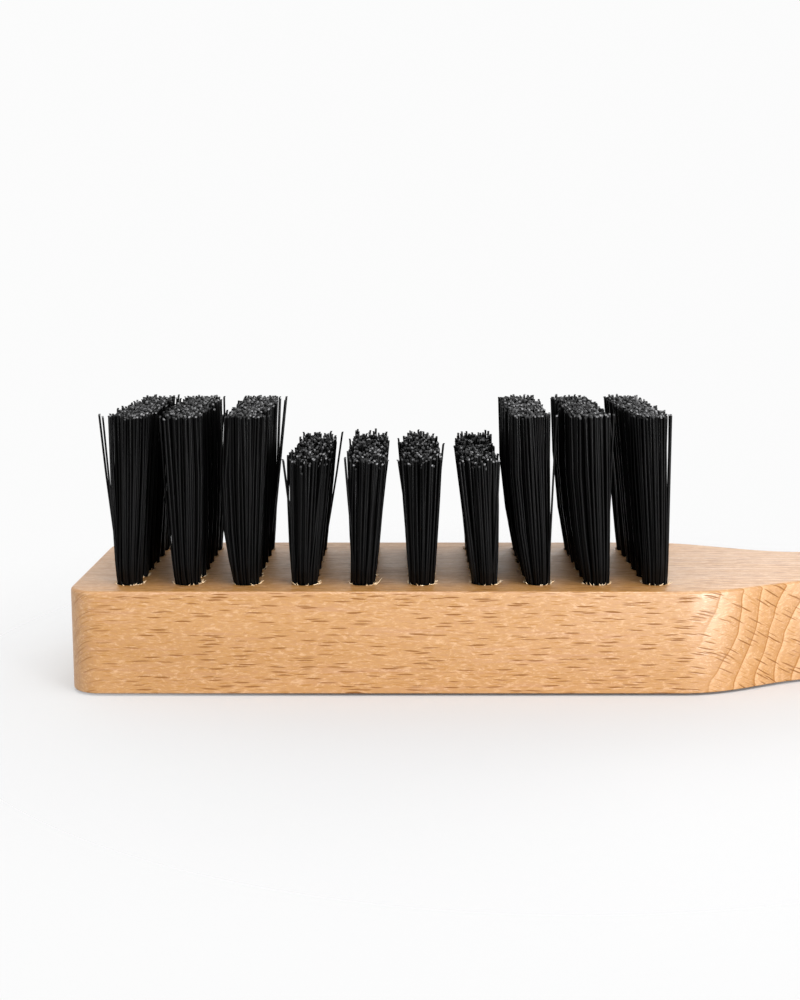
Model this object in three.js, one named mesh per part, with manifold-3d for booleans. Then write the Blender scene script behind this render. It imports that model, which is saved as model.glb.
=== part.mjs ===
// A clothes brush: a flat one-piece beech block, whose rectangular head narrows through two
// curved shoulders into a handle, and a field of black nylon tufts standing in blind holes.
// Millimetres, +Z up along the bristles, +X towards the handle's end. The origin is under the
// middle of the whole brush, on the flat back that it lies on.

import * as THREE from 'three';
import { mergeVertices } from 'three/addons/utils/BufferGeometryUtils.js';
import Module from 'manifold-3d';

const wasm = await Module();
wasm.setup();

// ---- driving dimensions ----------------------------------------------------------------

// Bristle field: a grid of tufts, columns counted from the free end, rows from the -Y side.
const COLUMNS = 10;
const ROWS = 6;
const COLUMN_PITCH = 11.4;
const ROW_PITCH = 6.95;
const SLIPPED_COLUMN = 7;        // this column was drilled a little nearer the handle
const SLIP = 1;
const FIRST_SHORT_COLUMN = 4;    // columns 4 to 7 are cut short, those around them stand tall
const LAST_SHORT_COLUMN = 7;

// Tufts, and the blind holes that hold them.
const HOLE_DIAMETER = 5.4;
const HOLE_DEPTH = 12;
const ROOT_CLEARANCE = 0.3;      // all round the root, and under it
const TALL_BRISTLE = 33.1;       // height above the wood
const SHORT_BRISTLE = 24.5;
const COLUMN_GAP_AT_TIPS = 3.2;  // room left between neighbours' tips, along X and along Y
const ROW_GAP_AT_TIPS = 0.5;
const COLUMN_LEAN = [1, -0.7, 0.3, 0.9, 0.9, 0, -1.3, -2.2, -2, -1.9];  // of the tips, along +X
const TUFT_SIDES = 12;

// Block: wood left around the bristle field, then the shoulders, then the handle.
const BLOCK_THICKNESS = 20.5;
const END_MARGIN = 11;           // from the first column to the free end
const SIDE_MARGIN = 8.2;         // from the outer rows to the sides
const NECK_MARGIN = 4.7;         // from the last column to where the shoulders begin
const CORNER_RADIUS = 6;
const EDGE_ROUNDING = 0.7;
const SHOULDER_LENGTH = 32;
const SHOULDER_EASE = 12;        // how far the shoulder's curve keeps its direction at each end
const NECK_WIDTH = 29.4;
const GRIP_WIDTH = 34;
const GRIP_SWELL = 67;           // from the neck to the widest place of the grip
const GRIP_NOSE = 33;            // from there to the rounded tip
const HANG_HOLE_DIAMETER = 8;
const HANG_HOLE_INSET = 15;      // from the tip to the hole's centre
const HANG_HOLE_CHAMFER = 0.8;

// ---- sizes worked out from them --------------------------------------------------------

const fieldLength = (COLUMNS - 1) * COLUMN_PITCH;
const headWidth = (ROWS - 1) * ROW_PITCH + 2 * SIDE_MARGIN;
const headLength = END_MARGIN + fieldLength + NECK_MARGIN;
const overallLength = headLength + SHOULDER_LENGTH + GRIP_SWELL + GRIP_NOSE;
const freeEnd = -overallLength / 2;
const shoulderStart = freeEnd + headLength;
const neckStart = shoulderStart + SHOULDER_LENGTH;
const gripWidest = neckStart + GRIP_SWELL;
const tip = overallLength / 2;

const rootDiameter = HOLE_DIAMETER - 2 * ROOT_CLEARANCE;
const rootLength = HOLE_DEPTH - ROOT_CLEARANCE;
const tipLength = COLUMN_PITCH - COLUMN_GAP_AT_TIPS;
const tipWidth = ROW_PITCH - ROW_GAP_AT_TIPS;

const columnX = (column) =>
  freeEnd + END_MARGIN + (column - 1) * COLUMN_PITCH + (column === SLIPPED_COLUMN ? SLIP : 0);
const rowY = (row) => (row - (ROWS + 1) / 2) * ROW_PITCH;
const isShort = (column) => column >= FIRST_SHORT_COLUMN && column <= LAST_SHORT_COLUMN;
const bristleHeight = (column) => (isShort(column) ? SHORT_BRISTLE : TALL_BRISTLE);
const tipLean = (column) => COLUMN_LEAN[column - 1] ?? 0;

// ---- materials -------------------------------------------------------------------------

const beech = () => new THREE.MeshStandardMaterial({ color: 0xe0ae7c, roughness: 0.62, metalness: 0 });
const nylon = () => new THREE.MeshStandardMaterial({ color: 0x161514, roughness: 0.45, metalness: 0 });

// ---- joining and cutting ---------------------------------------------------------------

function toSolid(geometry) {
  const bare = geometry.clone();
  bare.deleteAttribute('normal');
  bare.deleteAttribute('uv');
  const merged = mergeVertices(bare, 1e-4);
  return new wasm.Manifold(new wasm.Mesh({
    numProp: 3,
    vertProperties: Float32Array.from(merged.attributes.position.array),
    triVerts: Uint32Array.from(merged.index.array),
  }));
}

function toGeometry(solid) {
  const mesh = solid.getMesh();
  const geometry = new THREE.BufferGeometry();
  geometry.setAttribute('position', new THREE.BufferAttribute(mesh.vertProperties, 3));
  geometry.setIndex(new THREE.BufferAttribute(mesh.triVerts, 1));
  const faceted = geometry.toNonIndexed();
  faceted.computeVertexNormals();
  return faceted;
}

// ---- block -----------------------------------------------------------------------------

// The plan outline, anticlockwise from the free end's corner on the -Y side.
function blockOutline() {
  const side = headWidth / 2;
  const neck = NECK_WIDTH / 2;
  const grip = GRIP_WIDTH / 2;
  const cornerX = freeEnd + CORNER_RADIUS;
  const cornerY = side - CORNER_RADIUS;
  const ease = SHOULDER_EASE;
  const swellEase = GRIP_SWELL / 3;
  const outline = new THREE.Shape();
  outline.moveTo(cornerX, -side);
  outline.lineTo(shoulderStart, -side);
  outline.bezierCurveTo(shoulderStart + ease, -side, neckStart - ease, -neck, neckStart, -neck);
  outline.bezierCurveTo(neckStart + swellEase, -neck, gripWidest - swellEase, -grip, gripWidest, -grip);
  outline.absellipse(gripWidest, 0, GRIP_NOSE, grip, -Math.PI / 2, Math.PI / 2, false);
  outline.bezierCurveTo(gripWidest - swellEase, grip, neckStart + swellEase, neck, neckStart, neck);
  outline.bezierCurveTo(neckStart - ease, neck, shoulderStart + ease, side, shoulderStart, side);
  outline.lineTo(cornerX, side);
  outline.absarc(cornerX, cornerY, CORNER_RADIUS, Math.PI / 2, Math.PI, false);
  outline.absarc(cornerX, -cornerY, CORNER_RADIUS, Math.PI, 1.5 * Math.PI, false);
  return outline;
}

// One blind hole's cutter, standing on the hole's flat floor and passing out of the top face.
function tuftHole(column, row) {
  const proud = 1;
  const cutter = new THREE.CylinderGeometry(
    HOLE_DIAMETER / 2, HOLE_DIAMETER / 2, HOLE_DEPTH + proud, TUFT_SIDES);
  cutter.rotateX(Math.PI / 2);
  cutter.translate(columnX(column), rowY(row), BLOCK_THICKNESS - (HOLE_DEPTH - proud) / 2);
  return cutter;
}

// The hanging hole's cutter: a straight bore with a chamfer at both faces.
function hangHole() {
  const sides = 24;
  const bore = HANG_HOLE_DIAMETER / 2;
  const proud = 1;
  const straight = new THREE.CylinderGeometry(bore, bore, BLOCK_THICKNESS + 2 * proud, sides);
  straight.rotateX(Math.PI / 2);
  straight.translate(0, 0, BLOCK_THICKNESS / 2);
  const wide = bore + HANG_HOLE_CHAMFER + proud;
  const depth = HANG_HOLE_CHAMFER + proud;
  const upper = new THREE.CylinderGeometry(wide, bore, depth, sides);
  upper.rotateX(Math.PI / 2);
  upper.translate(0, 0, BLOCK_THICKNESS + proud - depth / 2);
  const lower = new THREE.CylinderGeometry(bore, wide, depth, sides);
  lower.rotateX(Math.PI / 2);
  lower.translate(0, 0, depth / 2 - proud);
  return [straight, upper, lower].map((piece) => piece.translate(tip - HANG_HOLE_INSET, 0, 0));
}

function blockGeometry() {
  const body = new THREE.ExtrudeGeometry(blockOutline(), {
    depth: BLOCK_THICKNESS - 2 * EDGE_ROUNDING,
    curveSegments: 12,
    bevelEnabled: true,
    bevelThickness: EDGE_ROUNDING,
    bevelSize: EDGE_ROUNDING,
    bevelOffset: -EDGE_ROUNDING,
    bevelSegments: 2,
  });
  body.translate(0, 0, EDGE_ROUNDING);
  let solid = toSolid(body);
  for (let column = 1; column <= COLUMNS; column++) {
    for (let row = 1; row <= ROWS; row++) {
      solid = solid.subtract(toSolid(tuftHole(column, row)));
    }
  }
  for (const cutter of hangHole()) {
    solid = solid.subtract(toSolid(cutter));
  }
  return toGeometry(solid);
}

// ---- tufts -----------------------------------------------------------------------------

// A straight root in the hole, then bristles that fan out to an oval tip and lean a little to
// one side. The mesh's own origin is in the mouth of the hole.
function tuftGeometry(column) {
  const root = rootDiameter / 2;
  const tuft = new THREE.CylinderGeometry(root, root, 2, TUFT_SIDES, 2);
  tuft.rotateX(Math.PI / 2);
  const points = tuft.attributes.position;
  for (let i = 0; i < points.count; i++) {
    const ring = Math.round(points.getZ(i));
    const fanX = ring > 0 ? tipLength / rootDiameter : 1;
    const fanY = ring > 0 ? tipWidth / rootDiameter : 1;
    const lean = ring > 0 ? tipLean(column) : 0;
    const z = ring > 0 ? bristleHeight(column) : ring * rootLength;
    points.setXYZ(i, points.getX(i) * fanX + lean, points.getY(i) * fanY, z);
  }
  tuft.computeVertexNormals();
  return tuft;
}

// The far corner's two tufts, whose outer bristles have tangled at the tips into one solid.
function tangledPairGeometry(column) {
  const tangle = 1.5;
  const near = tuftGeometry(column).translate(0, -ROW_PITCH / 2, 0);
  const far = tuftGeometry(column).translate(0, ROW_PITCH / 2, 0);
  const bridge = new THREE.BoxGeometry(2 * tangle, ROW_GAP_AT_TIPS + 2 * tangle, tangle);
  bridge.translate(tipLean(column), 0, bristleHeight(column) - tangle / 2);
  return toGeometry(toSolid(near).add(toSolid(far)).add(toSolid(bridge)));
}

// ---- assembly --------------------------------------------------------------------------

const group = new THREE.Group();

function addPiece(name, geometry, material, x, y, z) {
  const piece = new THREE.Mesh(geometry, material);
  piece.name = name;
  piece.position.set(x, y, z);
  group.add(piece);
}

addPiece('block', blockGeometry(), beech(), 0, 0, 0);

for (let column = 1; column <= COLUMNS; column++) {
  const label = String(column).padStart(2, '0');
  const singles = column === COLUMNS ? ROWS - 2 : ROWS;
  for (let row = 1; row <= singles; row++) {
    const name = `tuft_c${label}_r${row}`;
    addPiece(name, tuftGeometry(column), nylon(), columnX(column), rowY(row), BLOCK_THICKNESS);
  }
}

const pair = tangledPairGeometry(COLUMNS);
const pairName = `tuft_pair_c${COLUMNS}_r${ROWS - 1}_r${ROWS}`;
addPiece(pairName, pair, nylon(), columnX(COLUMNS), rowY(ROWS - 0.5), BLOCK_THICKNESS);

export default group;
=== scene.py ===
# A beech clothes brush with nylon tufts, lying on its back on a pale floor.
import math

import bpy
import numpy as np
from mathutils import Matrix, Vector
from mathutils.geometry import delaunay_2d_cdt


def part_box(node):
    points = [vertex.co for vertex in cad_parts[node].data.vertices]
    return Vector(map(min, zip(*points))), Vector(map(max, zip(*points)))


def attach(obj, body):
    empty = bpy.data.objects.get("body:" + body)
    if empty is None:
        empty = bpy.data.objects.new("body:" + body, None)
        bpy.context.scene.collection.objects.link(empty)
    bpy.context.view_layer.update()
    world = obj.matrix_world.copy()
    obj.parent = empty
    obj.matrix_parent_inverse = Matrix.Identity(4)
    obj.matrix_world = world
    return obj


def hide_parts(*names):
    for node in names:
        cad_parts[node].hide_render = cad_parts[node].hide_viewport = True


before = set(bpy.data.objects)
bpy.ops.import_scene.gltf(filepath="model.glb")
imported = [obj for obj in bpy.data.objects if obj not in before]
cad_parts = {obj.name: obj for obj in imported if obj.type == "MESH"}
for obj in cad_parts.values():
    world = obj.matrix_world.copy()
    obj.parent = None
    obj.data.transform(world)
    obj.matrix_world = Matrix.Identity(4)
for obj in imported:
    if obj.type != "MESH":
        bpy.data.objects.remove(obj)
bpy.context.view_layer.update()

MM = 0.001
rng = np.random.default_rng(60)

# ---- what the frame says ----------------------------------------------------------------

BLOCK_LOW, BLOCK_HIGH = (np.array(corner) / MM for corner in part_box("block"))
TOP = BLOCK_HIGH[2]
SIDE = BLOCK_HIGH[1]
FREE_END = BLOCK_LOW[0]
TIP = BLOCK_HIGH[0]
COLUMNS = 10
ROWS = 6
PAIR_NODE = "tuft_pair_c10_r5_r6"


def node_of(column, row):
    """The CAD node that holds this tuft."""
    if column == COLUMNS and row > ROWS - 2:
        return PAIR_NODE
    return f"tuft_c{column:02d}_r{row}"


def end_of(node, tips):
    """The middle of a CAD tuft's tip ring, or of its root ring, in millimetres."""
    points = np.array([v.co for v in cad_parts[node].data.vertices]) / MM
    level = points[:, 2].max() if tips else points[:, 2].min()
    ring = points[abs(points[:, 2] - level) < 0.01]
    return (ring.min(axis=0) + ring.max(axis=0)) / 2


ROOTS = [end_of(node_of(column, 1), False) for column in range(1, COLUMNS + 1)]
TIPS = [end_of(node_of(column, 1), True) for column in range(1, COLUMNS + 1)]
COLUMN_X = [root[0] for root in ROOTS]
COLUMN_LEAN = [tip[0] - root[0] for root, tip in zip(ROOTS, TIPS)]
COLUMN_TIP = [tip[2] for tip in TIPS]
SHORT = [height < max(COLUMN_TIP) - 1 for height in COLUMN_TIP]
FIRST_ROW_Y = ROOTS[0][1]
ROW_PITCH = end_of("tuft_c01_r2", False)[1] - FIRST_ROW_Y


def row_y(row):
    return FIRST_ROW_Y + (row - 1) * ROW_PITCH


# ---- sizes of the block that its box doesn't give, in millimetres -------------------------

HOLE_RADIUS = 2.6
HOLE_DEPTH = 12.0
HOLE_SIDES = 32
MOUTH_WIDER = 0.08     # than the hole, with a rim as uneven as MOUTH_WOBBLE
MOUTH_WOBBLE = 0.06
MOUTH_DEPTH = 0.35
CORNER_RADIUS = 6.0
EDGE_ROUNDING = 0.7
ROUNDING_STEPS = 6
FOOT_INSET = 3.0       # the rim of the back, this wide, rises by FOOT_LIFT to the rounded edge
FOOT_LIFT = 0.32
NECK_MARGIN = 4.7
SHOULDER_LENGTH = 32.0
SHOULDER_EASE = 12.0
NECK_HALF = 14.7
GRIP_HALF = 17.0
GRIP_SWELL = 67.0
GRIP_NOSE = 33.0
HANG_HOLE_RADIUS = 4.0
HANG_HOLE_INSET = 15.0
HANG_HOLE_CHAMFER = 0.8
HANG_HOLE_SIDES = 48
CURVE_POINTS = 200     # on each curve of the outline, before it is spaced evenly
OUTLINE_SPACING = 0.7

# ---- camera, in millimetres ---------------------------------------------------------------

FIELD_MIDDLE = (COLUMN_X[0] + COLUMN_X[-1]) / 2
CAMERA_RIGHT_OF_FIELD = 1.5
CAMERA_IN_FRONT = 279.1
CAMERA_HEIGHT = 82.8
CAMERA_PITCH = math.radians(9.08)
SENSOR_WIDTH = 36.0
LENS = 67.5


def add_camera():
    data = bpy.data.cameras.new("camera")
    data.sensor_fit = "HORIZONTAL"
    data.sensor_width = SENSOR_WIDTH
    data.lens = LENS
    data.clip_start = 0.01
    data.clip_end = 20
    camera = bpy.data.objects.new("camera", data)
    bpy.context.scene.collection.objects.link(camera)
    camera.location = Vector((
        FIELD_MIDDLE + CAMERA_RIGHT_OF_FIELD, -SIDE - CAMERA_IN_FRONT, CAMERA_HEIGHT)) * MM
    camera.rotation_euler = (math.pi / 2 - CAMERA_PITCH, 0, 0)
    bpy.context.scene.camera = camera


# ---- meshes -------------------------------------------------------------------------------

def new_piece(name, points, faces, materials, face_slots=None, smooth=True, sharp_angle=None):
    """A mesh object from points in millimetres. Returns the object."""
    mesh = bpy.data.meshes.new(name)
    mesh.from_pydata((np.asarray(points) * MM).tolist(), [], faces)
    for material in materials:
        mesh.materials.append(material)
    if face_slots is not None:
        mesh.polygons.foreach_set("material_index", np.asarray(face_slots, np.int32))
    mesh.polygons.foreach_set("use_smooth", np.full(len(mesh.polygons), smooth))
    if sharp_angle is not None:
        mesh.set_sharp_from_angle(angle=sharp_angle)
    mesh.update()
    piece = bpy.data.objects.new(name, mesh)
    bpy.context.scene.collection.objects.link(piece)
    return piece


# ---- shader building ----------------------------------------------------------------------

class Nodes:
    """A small helper that adds shader nodes and joins them."""

    def __init__(self, name):
        self.material = bpy.data.materials.new(name)
        self.material.use_nodes = True
        self.tree = self.material.node_tree
        self.shader = self.tree.nodes["Principled BSDF"]

    def add(self, kind, inputs=None, **settings):
        node = self.tree.nodes.new(kind)
        for key, value in settings.items():
            setattr(node, key, value)
        for key, value in (inputs or {}).items():
            self.plug(value, node.inputs[key])
        return node

    def plug(self, value, socket):
        if isinstance(value, bpy.types.NodeSocket):
            self.tree.links.new(value, socket)
        else:
            socket.default_value = value

    def look(self, name, value):
        """Sets an input of the surface shader."""
        self.plug(value, self.shader.inputs[name])

    def math(self, operation, a, b=0.0, c=0.0, clamp=False):
        node = self.add("ShaderNodeMath", {0: a, 1: b, 2: c}, operation=operation, use_clamp=clamp)
        return node.outputs[0]

    def vector(self, operation, a, b=(0.0, 0.0, 0.0)):
        node = self.add("ShaderNodeVectorMath", {0: a, 1: b}, operation=operation)
        return node.outputs["Value" if operation in ("DOT_PRODUCT", "LENGTH") else "Vector"]

    def noise(self, at, scale, detail=2.0, roughness=0.5):
        node = self.add("ShaderNodeTexNoise", {
            "Vector": at, "Scale": scale, "Detail": detail, "Roughness": roughness})
        return node.outputs["Fac"]

    def drawn_out(self, at, per_mm, detail=2.0, roughness=0.5):
        """Noise whose spots are longer along the axes where per_mm is smaller."""
        return self.noise(self.vector("MULTIPLY", at, per_mm), 1.0, detail, roughness)

    def span(self, value, low, high, to_low=0.0, to_high=1.0, smooth=True):
        """The value's place between low and high, eased unless smooth is off, and held outside."""
        node = self.add("ShaderNodeMapRange", {
            "Value": value, "From Min": low, "From Max": high, "To Min": to_low, "To Max": to_high},
            interpolation_type="SMOOTHSTEP" if smooth else "LINEAR")
        return node.outputs["Result"]

    def mix(self, factor, a, b, blend="MIX"):
        node = self.add("ShaderNodeMix", data_type="RGBA", blend_type=blend)
        self.plug(factor, node.inputs[0])
        self.plug(a, node.inputs[6])
        self.plug(b, node.inputs[7])
        return node.outputs[2]

    def lay(self, colour, amount, strength, over):
        """The colour with another laid over it, as much as amount times strength."""
        return self.mix(self.math("MULTIPLY", amount, strength), colour, over)

    def combine(self, x, y, z):
        return self.add("ShaderNodeCombineXYZ", {0: x, 1: y, 2: z}).outputs[0]

    def millimetres(self):
        at = self.add("ShaderNodeTexCoord").outputs["Object"]
        return self.vector("MULTIPLY", at, (1 / MM, 1 / MM, 1 / MM))


# How the wood grew, in millimetres: the yearly rings' normal, the directions across and along the
# rays, and for each kind of ray the size of its cells along the grain, across the ray and along it.
# "ball" is how much of its cell a ray fills.
RING_NORMAL = (0.0, 0.985, -0.17)
RING_WIDTH = 2.1
RING_SWAY = 3.2
RAY_TILT = math.radians(50)
ACROSS_RAYS = (0.0, math.sin(RAY_TILT), math.cos(RAY_TILT))
ALONG_RAYS = (0.0, math.cos(RAY_TILT), -math.sin(RAY_TILT))
RAY_SWAY = 0.35
BOLD_RAYS = {"length": 6.3, "thick": 0.37, "reach": 26.0, "ball": 0.345, "shift": 0.0}
FAINT_RAYS = {"length": 3.9, "thick": 0.29, "reach": 14.0, "ball": 0.33, "shift": 11.3}
WEAVE = 2.4            # how far the fibres wander

# The wood's colours, linear.
GROUND = (0.390, 0.173, 0.021, 1)
PALE_GROUND = (0.435, 0.204, 0.041, 1)
GRAIN_STREAK = (0.39, 0.175, 0.054, 1)
EARLY_WOOD = (0.68, 0.40, 0.20, 1)
LATE_WOOD = (0.27, 0.105, 0.014, 1)
PALE_DASH = (0.66, 0.41, 0.23, 1)
DARK_DASH = (0.36, 0.152, 0.033, 1)
FIBRE_STROKE = (0.38, 0.166, 0.048, 1)
FAINT_RAY = (0.33, 0.15, 0.030, 1)
BOLD_RAY = (0.20, 0.070, 0.005, 1)
# Painted shade for the block's lower edge, where it meets the floor; not the wood's own colour.
PAINTED_ARRIS_SHADE = (0.12, 0.050, 0.022, 1)


def beech():
    """Solid beech: yearly rings, ray sheets that cut to short dark flecks, and fine fibre."""
    n = Nodes("beech")
    at = n.millimetres()
    x, _, z = n.add("ShaderNodeSeparateXYZ", {0: at}).outputs

    # Rings: planes almost parallel to the long sides. Each year starts pale, darkens slowly and
    # ends in a thin dark line. They show on the shoulders and the handle.
    towards_handle = n.span(x, -8.0, 4.0, 0.08, 1.0)
    on_shoulder = n.span(x, 20.0, 45.0, 1.0, 0.3)
    sway = n.drawn_out(at, (0.03, 0.08, 0.08))
    ring_at = n.math("MULTIPLY_ADD", sway, RING_SWAY, n.vector("DOT_PRODUCT", at, RING_NORMAL))
    ring = n.math("FRACT", n.math("DIVIDE", ring_at, RING_WIDTH))
    darkening = n.math("MAXIMUM", n.span(ring, 0.45, 1.0, 0.0, 0.45), n.span(ring, 0.86, 0.97))
    late = n.math("MULTIPLY", darkening, n.span(ring, 0.975, 1.0, 1.0, 0.0))
    late = n.math("MULTIPLY", late, n.math("MULTIPLY", towards_handle, on_shoulder))
    early = n.span(ring, 0.0, 0.35, 1.0, 0.0)

    # Rays: flat lenses, long along the grain and along the ray, thin across it.
    waver = n.drawn_out(at, (0.2, 0.35, 0.35), detail=1.0)
    across = n.math("MULTIPLY_ADD", waver, RAY_SWAY, n.vector("DOT_PRODUCT", at, ACROSS_RAYS))
    along = n.vector("DOT_PRODUCT", at, ALONG_RAYS)

    def rays(length, thick, reach, ball, shift):
        cell = n.combine(
            n.math("DIVIDE", n.math("ADD", x, shift), length),
            n.math("DIVIDE", across, thick),
            n.math("DIVIDE", along, reach))
        voronoi = n.add("ShaderNodeTexVoronoi", {"Vector": cell, "Scale": 1.0, "Randomness": 1.0},
                        feature="F1")
        strength = n.add("ShaderNodeSeparateColor", {0: voronoi.outputs["Color"]}).outputs[0]
        body = n.span(voronoi.outputs["Distance"], ball * 0.55, ball, 1.0, 0.0)
        return n.math("MULTIPLY", body, n.math("MULTIPLY_ADD", strength, 0.5, 0.65, clamp=True))

    off_free_end = n.span(x, FREE_END, FREE_END + 14, 0.4, 1.0)
    bold = n.math("MULTIPLY", rays(**BOLD_RAYS), off_free_end)
    faint = rays(**FAINT_RAYS)

    # Fibre: short strokes that run up and down a little along the grain.
    wander = n.math("MULTIPLY", n.drawn_out(at, (0.2, 0.25, 0.25), detail=1.0), WEAVE)
    woven = n.vector("ADD", at, n.combine(0.0, wander, wander))
    fibre = n.drawn_out(woven, (0.7, 4.6, 4.6), detail=4.0, roughness=0.7)
    dash = n.drawn_out(woven, (0.6, 2.4, 2.4), detail=4.0, roughness=0.7)
    grain = n.drawn_out(at, (0.05, 1.0, 1.0), detail=3.0, roughness=0.6)
    cloud = n.drawn_out(at, (0.03, 0.09, 0.09))
    among_tufts = n.span(x, -22.0, -4.0, 0.75, 0.12)

    # The arris: painted shade along the block's lower edge, a dark band just above where it meets
    # the floor.
    arris_shade = n.math("MULTIPLY", n.span(z, 0.05, 0.3), n.span(z, 0.4, 0.62, 1.0, 0.0))

    colour = n.mix(n.span(cloud, 0.3, 0.7), GROUND, PALE_GROUND)
    colour = n.lay(colour, n.span(grain, 0.5, 0.7), among_tufts, GRAIN_STREAK)
    colour = n.lay(colour, early, n.math("MULTIPLY", towards_handle, 0.45), EARLY_WOOD)
    for amount, strength, over in (
            (n.span(dash, 0.5, 0.66), 0.5, PALE_DASH),
            (n.span(dash, 0.5, 0.34), 0.5, DARK_DASH),
            (n.span(fibre, 0.5, 0.64), 0.55, FIBRE_STROKE),
            (late, 0.7, LATE_WOOD),
            (faint, 0.55, FAINT_RAY),
            (bold, 0.92, BOLD_RAY),
            (arris_shade, 0.85, PAINTED_ARRIS_SHADE)):
        colour = n.lay(colour, amount, strength, over)
    n.look("Base Color", colour)

    n.look("Roughness", n.span(n.math("ADD", fibre, grain), 0.7, 1.3, 0.38, 0.55))
    height = n.math("SUBTRACT", n.math("MULTIPLY", fibre, 0.6), n.math("MULTIPLY", bold, 0.5))
    bump = n.add("ShaderNodeBump", {"Strength": 0.5, "Distance": 0.0001, "Height": height})
    n.look("Normal", bump.outputs["Normal"])

    # The sanded wood has a sheen that the rays, the late wood and the painted shade on the arris
    # lack.
    dull = n.math("MAXIMUM", n.math("MULTIPLY", bold, 0.65), n.math("MULTIPLY", faint, 0.5))
    dull = n.math("MAXIMUM", dull, n.math("MULTIPLY", n.math("MAXIMUM", late, arris_shade), 0.7))
    n.look("IOR", 1.65)
    n.look("Specular IOR Level", n.math("SUBTRACT", 1.0, dull))
    return n.material


def torn_beech():
    """The pale fibres torn up round each hole."""
    n = Nodes("torn_beech")
    shade = n.span(n.noise(n.millimetres(), 1.3), 0.35, 0.65)
    n.look("Base Color", n.mix(shade, (0.80, 0.58, 0.34, 1), (0.90, 0.74, 0.52, 1)))
    n.look("Roughness", 0.8)
    return n.material


def nylon():
    """Black nylon filament, drawn smooth, a little greyer on some filaments than on others."""
    n = Nodes("nylon")
    island = n.add("ShaderNodeNewGeometry").outputs["Random Per Island"]
    streak = n.drawn_out(n.millimetres(), (3.0, 3.0, 0.2), detail=1.0)
    grey = n.math("MULTIPLY", n.span(island, 0.0, 1.0, 0.6, 1.4, False),
                  n.span(streak, 0.3, 0.7, 0.8, 1.2))
    black = [n.math("MULTIPLY", grey, share) for share in (0.0030, 0.0030, 0.0031)]
    n.look("Base Color", n.combine(*black))
    n.look("Roughness", n.span(island, 0.0, 1.0, 0.30, 0.45, False))
    n.look("Specular IOR Level", 0.10)
    return n.material


def cut_nylon():
    """The sheared ends of the filaments: scuffed, dusty and dull. A few are much paler."""
    n = Nodes("cut_nylon")
    island = n.add("ShaderNodeNewGeometry").outputs["Random Per Island"]
    spot = n.noise(n.millimetres(), 4.0)
    light = n.math("MULTIPLY", n.math("POWER", island, 3.0), n.span(spot, 0.3, 0.7, 0.6, 1.3))
    n.look("Base Color", n.mix(light, (0.012, 0.012, 0.0125, 1), (0.28, 0.28, 0.285, 1)))
    n.look("Roughness", 0.75)
    n.look("Specular IOR Level", 0.25)
    return n.material


def wire():
    """Drawn steel wire, with the marks of the die along it."""
    n = Nodes("anchor_wire")
    drawn = n.drawn_out(n.millimetres(), (8.0, 0.6, 8.0))
    n.look("Base Color", n.mix(drawn, (0.42, 0.42, 0.44, 1), (0.58, 0.57, 0.55, 1)))
    n.look("Roughness", n.span(drawn, 0.3, 0.7, 0.3, 0.5))
    n.look("Metallic", 1.0)
    return n.material


# The floor is solid under the brush and gone at its fading distance, in millimetres.
FLOOR_MIDDLE = (FIELD_MIDDLE + 25.0, 0.0, 0.0)
FLOOR_SQUEEZE = (1.35, 1.25, 1.0)
FLOOR_SOLID = 40.0
FLOOR_GONE = 230.0


def floor_paint():
    """Pale matt paint that fades into the white surround, as a seamless sweep does."""
    n = Nodes("floor_paint")
    at = n.millimetres()
    away = n.vector("MULTIPLY", n.vector("SUBTRACT", at, FLOOR_MIDDLE), FLOOR_SQUEEZE)
    n.look("Base Color", n.mix(n.noise(at, 0.004), (0.60, 0.60, 0.605, 1), (0.62, 0.62, 0.625, 1)))
    n.look("Roughness", 0.9)
    n.look("Specular IOR Level", 0.1)
    n.look("Alpha", n.span(n.vector("LENGTH", away), FLOOR_SOLID, FLOOR_GONE, 1.0, 0.0))
    return n.material


# ---- block --------------------------------------------------------------------------------

def arc(centre, radii, start, end, steps):
    angles = np.radians(np.linspace(start, end, steps))
    return [(centre[0] + radii[0] * math.cos(angle), centre[1] + radii[1] * math.sin(angle))
            for angle in angles]


def bezier(a, b, c, d, steps):
    t = np.linspace(0, 1, steps)[:, None]
    u = 1 - t
    a, b, c, d = map(np.array, (a, b, c, d))
    return (u ** 3 * a + 3 * u ** 2 * t * b + 3 * u * t ** 2 * c + t ** 3 * d).tolist()


def even_loop(points, spacing):
    """The closed line through points, again as points spaced evenly along it."""
    points = np.array(points)
    keep = np.linalg.norm(points - np.roll(points, 1, axis=0), axis=1) > 1e-6
    points = points[keep]
    closed = np.vstack([points, points[:1]])
    run = np.concatenate([[0], np.cumsum(np.linalg.norm(np.diff(closed, axis=0), axis=1))])
    count = int(round(run[-1] / spacing))
    at = np.linspace(0, run[-1], count, endpoint=False)
    return np.column_stack([np.interp(at, run, closed[:, 0]), np.interp(at, run, closed[:, 1])])


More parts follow.
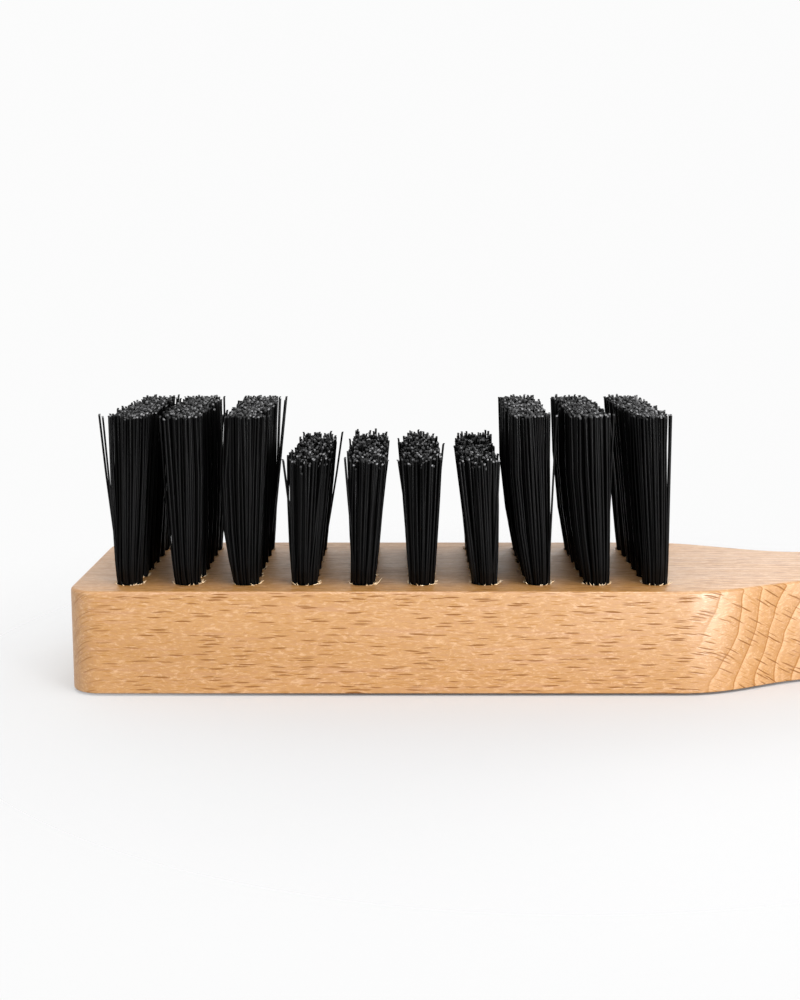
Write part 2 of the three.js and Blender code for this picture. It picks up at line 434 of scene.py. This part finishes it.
def block_outline():
    """The block's plan and its outward normals, anticlockwise."""
    head_end = COLUMN_X[-1] + NECK_MARGIN
    neck = head_end + SHOULDER_LENGTH
    widest = neck + GRIP_SWELL
    ease, swell = SHOULDER_EASE, GRIP_SWELL / 3
    corner = (FREE_END + CORNER_RADIUS, SIDE - CORNER_RADIUS)
    near = bezier((head_end, -SIDE), (head_end + ease, -SIDE), (neck - ease, -NECK_HALF),
                  (neck, -NECK_HALF), CURVE_POINTS)
    near += bezier((neck, -NECK_HALF), (neck + swell, -NECK_HALF), (widest - swell, -GRIP_HALF),
                   (widest, -GRIP_HALF), CURVE_POINTS)
    nose = arc((widest, 0), (GRIP_NOSE, GRIP_HALF), -90, 90, CURVE_POINTS)
    far = [(x, -y) for x, y in reversed(near)]
    radii = (CORNER_RADIUS, CORNER_RADIUS)
    left = arc(corner, radii, 90, 180, CURVE_POINTS)
    left += arc((corner[0], -corner[1]), radii, 180, 270, CURVE_POINTS)
    line = even_loop(near + nose + far + left, OUTLINE_SPACING)
    along = np.roll(line, -1, axis=0) - np.roll(line, 1, axis=0)
    along /= np.linalg.norm(along, axis=1)[:, None]
    return line, np.column_stack([along[:, 1], -along[:, 0]])


def circle(centre, radius, sides, wobble=0.0):
    angles = np.linspace(0, 2 * math.pi, sides, endpoint=False)
    reach = radius + wobble * rng.uniform(-1, 1, sides)
    return np.column_stack([centre[0] + reach * np.cos(angles), centre[1] + reach * np.sin(angles)])


class Shell:
    """Points and faces of one closed skin, gathered ring by ring."""

    def __init__(self):
        self.points, self.faces = [], []

    def ring(self, plan, height):
        first = len(self.points)
        self.points += [(x, y, height) for x, y in plan]
        return list(range(first, len(self.points)))

    def wall(self, lower, upper):
        """Faces between two rings that run anticlockwise, facing out."""
        for i in range(len(lower)):
            j = (i + 1) % len(lower)
            self.faces.append((lower[i], lower[j], upper[j], upper[i]))

    def sheet(self, outer, holes, up):
        """A flat sheet inside the ring outer and outside the rings in holes."""
        used = outer + [i for hole in holes for i in hole]
        plan = [Vector(self.points[i][:2]) for i in used]
        edges, start = [], 0
        for ring in [outer] + holes:
            edges += [(start + i, start + (i + 1) % len(ring)) for i in range(len(ring))]
            start += len(ring)
        _, _, triangles, sources, _, _ = delaunay_2d_cdt(plan, edges, [], 1, 1e-7)
        for triangle in triangles:
            ids = [sources[v][0] for v in triangle]
            if self.inside_a_hole(ids, len(outer), holes):
                continue
            face = [used[i] for i in ids]
            self.faces.append(tuple(face) if up else tuple(reversed(face)))

    @staticmethod
    def inside_a_hole(ids, outer_count, holes):
        """Whether all three corners lie on one hole's rim and run the way it runs."""
        a, b, c = ids
        start = outer_count
        for hole in holes:
            if all(start <= i < start + len(hole) for i in ids):
                return (a < b) + (b < c) + (c < a) == 2
            start += len(hole)
        return False


def add_block(material):
    shell = Shell()
    line, normal = block_outline()
    lower, upper = [shell.ring(line - normal * FOOT_INSET, 0)], []
    turns = [math.pi / 2 * k / ROUNDING_STEPS for k in range(ROUNDING_STEPS + 1)]
    for turn in turns:
        inset = EDGE_ROUNDING * (1 - math.sin(turn))
        rise = FOOT_LIFT + (EDGE_ROUNDING - FOOT_LIFT) * (1 - math.cos(turn))
        lower.append(shell.ring(line - normal * inset, rise))
    for turn in turns:
        inset = EDGE_ROUNDING * (1 - math.cos(turn))
        drop = EDGE_ROUNDING * (1 - math.sin(turn))
        upper.append(shell.ring(line - normal * inset, TOP - drop))
    rings = lower + upper
    for a, b in zip(rings, rings[1:]):
        shell.wall(a, b)

    hang = (TIP - HANG_HOLE_INSET, 0)
    wide = HANG_HOLE_RADIUS + HANG_HOLE_CHAMFER
    levels = ((wide, 0), (HANG_HOLE_RADIUS, HANG_HOLE_CHAMFER),
              (HANG_HOLE_RADIUS, TOP - HANG_HOLE_CHAMFER), (wide, TOP))
    hang_rings = [shell.ring(circle(hang, radius, HANG_HOLE_SIDES), z) for radius, z in levels]
    for a, b in zip(hang_rings, hang_rings[1:]):
        shell.wall(b, a)

    mouths = []
    for column in range(1, COLUMNS + 1):
        for row in range(1, ROWS + 1):
            centre = (COLUMN_X[column - 1], row_y(row))
            rim = circle(centre, HOLE_RADIUS + MOUTH_WIDER, HOLE_SIDES, MOUTH_WOBBLE)
            mouth = shell.ring(rim, TOP)
            throat = shell.ring(circle(centre, HOLE_RADIUS, HOLE_SIDES), TOP - MOUTH_DEPTH)
            bottom = shell.ring(circle(centre, HOLE_RADIUS, HOLE_SIDES), TOP - HOLE_DEPTH)
            shell.wall(mouth, throat)
            shell.wall(throat, bottom)
            shell.faces.append(tuple(bottom))
            mouths.append(mouth)
    shell.sheet(rings[-1], mouths + [hang_rings[-1]], True)
    shell.sheet(rings[0], [hang_rings[0]], False)

    block = new_piece("beech_block", shell.points, shell.faces, [material],
                      sharp_angle=math.radians(40))
    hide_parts("block")
    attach(block, "root")


# ---- tufts --------------------------------------------------------------------------------

FILAMENT_RADIUS = 0.215
FILAMENT_SIDES = 6
BUNDLE_RADIUS = 2.38
FAN_X = 3.95           # half the tuft's length at the tips, to the outermost filament's middle
FAN_Y = 3.45
OUTER_ROW_LEAN = 0.7
SPLAY = 14             # how soon the bristles close the gaps between rows: higher is sooner
STRAY_SHARE = 0.03     # of the filaments, which stand away from the rest
FILAMENTS = 95
ROOT_DEPTH = 11.5
CUT_LENGTH = 0.3       # of the dull end below each tip

# Where a filament has its rings above the wood, as shares of its height.
RISE = [0.0, 0.05, 0.14, 0.32, 0.65, 0.97, 1.0]

# Disorder, as standard deviations: where the tips are, how a whole tuft leans along X and Y, how
# uneven the tips' heights are, how far a filament bows at mid height, and how far its end curls.
TIP_SCATTER = 0.2
STRAY_SCATTER = 0.8
TUFT_LEAN = (0.15, 0.12)
TALL_RAGGED = 0.24
SHORT_RAGGED = 0.7
BOW = 0.14
CURL = 0.09

# How far a column's outermost filaments bulge to its left and to its right at mid height.
BELLY = {2: (0, 0.5), 3: (1.5, 0), 8: (1.3, 0), 9: (1.1, 0)}


def packed_disc(count):
    """Points that fill a disc of radius 1 evenly, with a little disorder."""
    i = np.arange(count) + 0.5
    radius = np.sqrt(i / count)
    angle = i * math.pi * (3 - math.sqrt(5))
    points = np.column_stack([radius * np.cos(angle), radius * np.sin(angle)])
    return points + rng.normal(0, 0.035, points.shape)


def tubes(paths, radius):
    """Closed six-sided tubes along paths[filament, step, xyz]. The last two rings and the cap
    are the cut end. Returns points, faces and each face's slot: 0 for the shaft, 1 for the end."""
    count, steps, _ = paths.shape
    angles = np.linspace(0, 2 * math.pi, FILAMENT_SIDES, endpoint=False)
    turned = angles[None, :] + rng.uniform(0, math.pi, count)[:, None]
    rings = np.zeros((count, steps, FILAMENT_SIDES, 3))
    rings += paths[:, :, None, :]
    rings[..., 0] += radius[:, None, None] * np.cos(turned)[:, None, :]
    rings[..., 1] += radius[:, None, None] * np.sin(turned)[:, None, :]
    points = rings.reshape(-1, 3)
    faces, slots = [], []
    per = steps * FILAMENT_SIDES
    for f in range(count):
        base = f * per
        for s in range(steps - 1):
            low = base + s * FILAMENT_SIDES
            for k in range(FILAMENT_SIDES):
                j = (k + 1) % FILAMENT_SIDES
                faces.append((low + k, low + j, low + FILAMENT_SIDES + j, low + FILAMENT_SIDES + k))
                slots.append(1 if s == steps - 2 else 0)
        faces.append(tuple(base + k for k in reversed(range(FILAMENT_SIDES))))
        slots.append(0)
        top = base + (steps - 1) * FILAMENT_SIDES
        faces.append(tuple(top + k for k in range(FILAMENT_SIDES)))
        slots.append(1)
    return points, faces, slots


# Filaments that stand well clear of their tuft: column, row, and where the tip is, in
# millimetres from the hole's middle, along X and along Y.
STRAYS = [
    (1, 1, -4.7, -2.0), (1, 1, -3.9, -2.6), (3, 6, 5.6, 1.0), (3, 5, 5.9, 0.4), (3, 1, 4.6, 2.2),
    (4, 1, -3.9, -2.0), (4, 2, -3.6, 0.5), (4, 6, 6.2, 1.5), (5, 1, -3.4, -2.4), (5, 2, 4.9, 0.6),
    (6, 1, -4.6, 1.4), (6, 2, -4.1, 0.4), (6, 1, 3.9, 1.8), (7, 1, -4.9, -0.6), (8, 1, 2.9, -2.4),
    (9, 1, -4.6, 1.2), (10, 1, 1.9, -1.8)]


def tuft_paths(column, row):
    """The filaments of one tuft: a straight root, then a fan up to the sheared tips."""
    x, y = COLUMN_X[column - 1], row_y(row)
    height = COLUMN_TIP[column - 1] - TOP
    disc = packed_disc(FILAMENTS)
    root = disc * BUNDLE_RADIUS
    outward = {1: -1.0, ROWS: 1.0}.get(row, 0.0) * OUTER_ROW_LEAN
    tips = disc * (FAN_X, FAN_Y) + rng.normal(0, TIP_SCATTER, disc.shape)
    tips += rng.normal(0, STRAY_SCATTER, disc.shape) * (rng.random((FILAMENTS, 1)) < STRAY_SHARE)
    lean_x, lean_y = rng.normal(0, TUFT_LEAN[0]), rng.normal(0, TUFT_LEAN[1])
    tips += (COLUMN_LEAN[column - 1] + lean_x, lean_y + outward)
    for k, stray in enumerate(s for s in STRAYS if s[:2] == (column, row)):
        reach = np.hypot(*(disc - np.sign(stray[2:])).T)
        tips[np.argsort(reach)[k]] = stray[2:]
    ragged = SHORT_RAGGED if SHORT[column - 1] else TALL_RAGGED
    level = height + rng.normal(0, ragged, FILAMENTS)
    bow = rng.normal(0, BOW, disc.shape)
    left, right = BELLY.get(column, (0, 0))
    bow[:, 0] += left * np.minimum(disc[:, 0], 0) + right * np.maximum(disc[:, 0], 0)
    curl = rng.normal(0, CURL, disc.shape)
    paths = np.zeros((FILAMENTS, 1 + len(RISE), 3))
    paths[:, 0, :2] = root
    paths[:, 0, 2] = TOP - ROOT_DEPTH
    for s, t in enumerate(RISE, 1):
        spread = np.array([t, 1 - (1 - t) ** SPLAY])
        paths[:, s, :2] = root + (tips - root) * spread + bow * math.sin(math.pi * t)
        paths[:, s, 2] = TOP + t * level
    paths[:, -1, :2] += curl
    paths[:, -2, 2] = paths[:, -1, 2] - CUT_LENGTH
    paths[:, :, :2] += (x, y)
    return paths


def add_tufts(shaft, end):
    for column in range(1, COLUMNS + 1):
        for row in range(1, ROWS + 1):
            paths = tuft_paths(column, row)
            radius = rng.normal(FILAMENT_RADIUS, 0.008, len(paths))
            points, faces, slots = tubes(paths, radius)
            name = f"bristles_c{column:02d}_r{row}"
            tuft = new_piece(name, points, faces, [shaft, end], slots, sharp_angle=math.radians(75))
            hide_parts(node_of(column, row))
            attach(tuft, "root")


# ---- torn fibres and anchors --------------------------------------------------------------

def sliver(at, direction, length, width, lift):
    """A closed, tapering splinter that lies out from a hole's rim and curls up."""
    ahead = np.array([math.cos(direction), math.sin(direction), 0.0])
    beside = np.array([-ahead[1], ahead[0], 0.0])
    up = np.array([0.0, 0.0, 1.0])
    rings = []
    for t, share in ((0.0, 1.0), (0.55, 0.8), (1.0, 0.25)):
        spine = at + ahead * length * t + up * (lift * t * t)
        half = width * share / 2
        thick = 0.05 * share + 0.015
        rings.append([spine - beside * half - up * thick, spine + beside * half - up * thick,
                      spine + beside * half + up * thick, spine - beside * half + up * thick])
    points = [p for ring in rings for p in ring]
    faces = [(3, 2, 1, 0), (8, 9, 10, 11)]
    for s in (0, 4):
        faces += [(s + k, s + (k + 1) % 4, s + 4 + (k + 1) % 4, s + 4 + k) for k in range(4)]
    return points, faces


def add_torn_fibres(material):
    points, faces = [], []

    def put(at, direction, length, width, lift):
        more, around = sliver(np.array(at), direction, length, width, lift)
        first = len(points)
        points.extend(more)
        faces.extend(tuple(first + i for i in face) for face in around)

    def on_rim(column, row, angle, radius):
        return (COLUMN_X[column - 1] + radius * math.cos(angle),
                row_y(row) + radius * math.sin(angle), TOP)

    for column in range(1, COLUMNS + 1):
        for row in range(1, ROWS + 1):
            for _ in range(rng.integers(12, 20)):
                angle = rng.uniform(0, 2 * math.pi)
                at = on_rim(column, row, angle, HOLE_RADIUS + rng.uniform(-0.15, 0.1))
                direction = angle + rng.normal(0, 0.8)
                length, width = rng.uniform(0.15, 0.6), rng.uniform(0.1, 0.3)
                put(at, direction, length, width, rng.uniform(0.1, 0.55))
            # Larger ones at the front right of the front row's holes.
            for _ in range(rng.integers(3, 6) if row == 1 else 0):
                angle = rng.uniform(-1.5, 0.3)
                at = on_rim(column, row, angle, HOLE_RADIUS)
                direction = angle + rng.normal(0.5, 0.5)
                length, width = rng.uniform(0.4, 1.0), rng.uniform(0.2, 0.4)
                put(at, direction, length, width, rng.uniform(0.1, 0.5))
    # One chip stands up beside the fifth hole of the front row.
    put((COLUMN_X[4] + HOLE_RADIUS * 0.9, row_y(1) - HOLE_RADIUS * 0.3, TOP), 0.1, 1.3, 0.9, 1.1)
    fibres = new_piece("torn_rim_fibres", points, faces, [material], smooth=False)
    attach(fibres, "root")


ANCHOR_BITE = 0.7      # how far each end of an anchor goes into the wood
ANCHOR_HALF_THICK = 0.25
ANCHOR_HALF_HIGH = 0.9
ANCHOR_ABOVE_BOTTOM = 1.2


def add_anchors(material):
    """One flat wire under each folded tuft, driven across the bottom of its hole."""
    half = (HOLE_RADIUS + ANCHOR_BITE, ANCHOR_HALF_THICK, ANCHOR_HALF_HIGH)
    signs = [(-1, -1, -1), (1, -1, -1), (1, 1, -1), (-1, 1, -1),
             (-1, -1, 1), (1, -1, 1), (1, 1, 1), (-1, 1, 1)]
    sides = [(3, 2, 1, 0), (4, 5, 6, 7), (0, 1, 5, 4), (1, 2, 6, 5), (2, 3, 7, 6), (3, 0, 4, 7)]
    for column in range(1, COLUMNS + 1):
        points, faces = [], []
        for row in range(1, ROWS + 1):
            centre = (COLUMN_X[column - 1], row_y(row), TOP - HOLE_DEPTH + ANCHOR_ABOVE_BOTTOM)
            first = len(points)
            points += [[c + s * h for c, s, h in zip(centre, sign, half)] for sign in signs]
            faces += [tuple(first + i for i in side) for side in sides]
        anchors = new_piece(f"anchor_wires_c{column:02d}", points, faces, [material], smooth=False)
        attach(anchors, "root")


# ---- room and light -----------------------------------------------------------------------

FLOOR_HALF = 4000.0    # millimetres


def add_floor():
    corners = [(x * FLOOR_HALF, y * FLOOR_HALF, 0) for x, y in ((-1, -1), (1, -1), (1, 1), (-1, 1))]
    floor = new_piece("floor", corners, [(0, 1, 2, 3)], [floor_paint()], smooth=False)


# name, place, what it is aimed at, size (all in metres) and power in watts
SOFTBOXES = [
    ("key", (0.55, -0.35, 0.65), (0, 0, 0.02), (0.5, 0.5), 0.6),
    ("top", (0.05, -0.25, 0.90), (0, 0, 0.02), (0.5, 0.4), 4.1),
    ("left", (-0.65, -0.35, 0.25), (-0.1, 0, 0.02), (0.3, 0.3), 0.9),
    ("window", (0.375, -0.60, 0.10), (0.06, -0.02, 0.02), (0.20, 0.18), 5.3),
    ("behind_right", (0.50, 1.0, 0.52), (0.0, 0, 0.02), (0.7, 0.35), 2.9),
    ("behind_left", (-0.48, 1.0, 0.52), (-0.1, 0, 0.02), (0.3, 0.35), 0.5)]

# How bright the surround is on the camera's side and behind the brush, and between which
# directions along Y it changes.
SURROUND = {"To Min": 0.70, "To Max": 0.97, "From Min": -0.5, "From Max": 0.4}


def add_softbox(name, place, target, size, power):
    data = bpy.data.lights.new(name, "AREA")
    data.shape = "RECTANGLE"
    data.size, data.size_y = size
    data.energy = power
    light = bpy.data.objects.new(name, data)
    bpy.context.scene.collection.objects.link(light)
    light.location = place
    aim = Vector(target) - Vector(place)
    light.rotation_euler = aim.to_track_quat("-Z", "Y").to_euler()


def add_world():
    """A white room, a little dimmer on the camera's side."""
    world = bpy.data.worlds.new("studio")
    world.use_nodes = True
    tree = world.node_tree
    way = tree.nodes.new("ShaderNodeSeparateXYZ")
    tree.links.new(tree.nodes.new("ShaderNodeTexCoord").outputs["Generated"], way.inputs[0])
    shade = tree.nodes.new("ShaderNodeMapRange")
    shade.interpolation_type = "SMOOTHSTEP"
    for socket, value in SURROUND.items():
        shade.inputs[socket].default_value = value
    tree.links.new(way.outputs["Y"], shade.inputs["Value"])
    tree.links.new(shade.outputs["Result"], tree.nodes["Background"].inputs["Color"])
    bpy.context.scene.world = world


def add_light():
    for softbox in SOFTBOXES:
        add_softbox(*softbox)
    scene = bpy.context.scene
    scene.view_settings.view_transform = "Standard"
    scene.view_settings.look = "None"


add_camera()
add_floor()
add_world()
add_light()
add_block(beech())
add_tufts(nylon(), cut_nylon())
add_torn_fibres(torn_beech())
add_anchors(wire())
